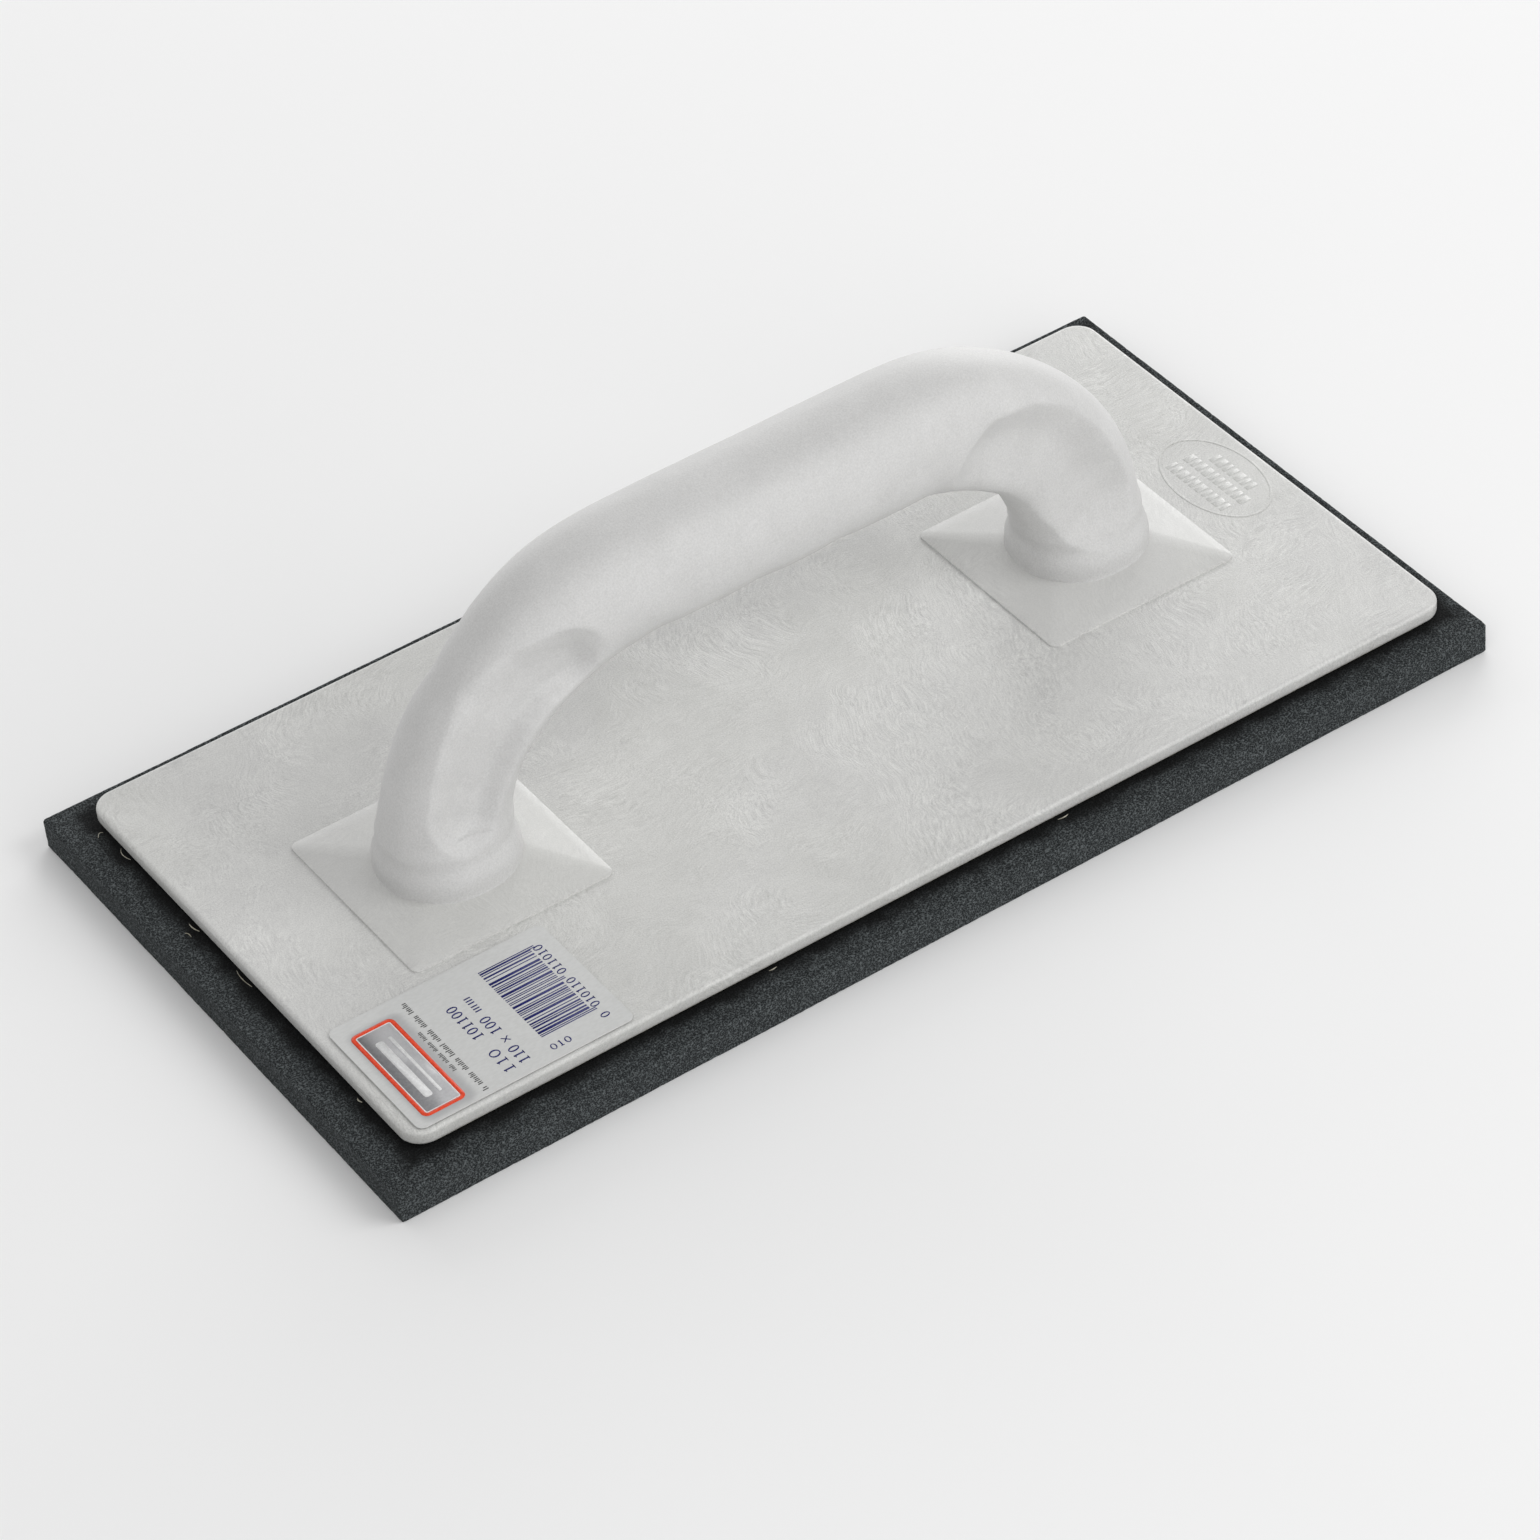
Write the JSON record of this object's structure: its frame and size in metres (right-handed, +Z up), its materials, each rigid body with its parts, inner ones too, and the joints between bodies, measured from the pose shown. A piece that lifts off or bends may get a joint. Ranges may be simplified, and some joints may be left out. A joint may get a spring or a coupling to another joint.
{
  "type": "sponge rubber hand float",
  "caption": "Long plastic hand float with a D handle on two square plinths and a sheet of cellular rubber glued under the board.",
  "frame": {"origin": "middle of the rubber sheet's underside, which is the working face", "axes": "+X along the float, +Y across it, +Z up towards the handle"},
  "size_m": [0.2942, 0.1542, 0.0847],
  "materials": {
    "board_plastic": "pale grey moulded plastic with fine flow marks",
    "handle_plastic": "pale grey moulded plastic, smooth",
    "cellular_rubber": "black cellular rubber, cut edges",
    "glue": "dried contact adhesive",
    "label_film": "printed self-adhesive film",
    "zinc_steel": "zinc-plated"
  },
  "bodies": {
    "root": {"rubber_pad": "cellular_rubber", "adhesive_film": "glue", "board": "board_plastic", "handle": "handle_plastic", "label": "label_film", "handle_screw_left": "zinc_steel", "handle_screw_right": "zinc_steel"}
  },
  "joints": []
}
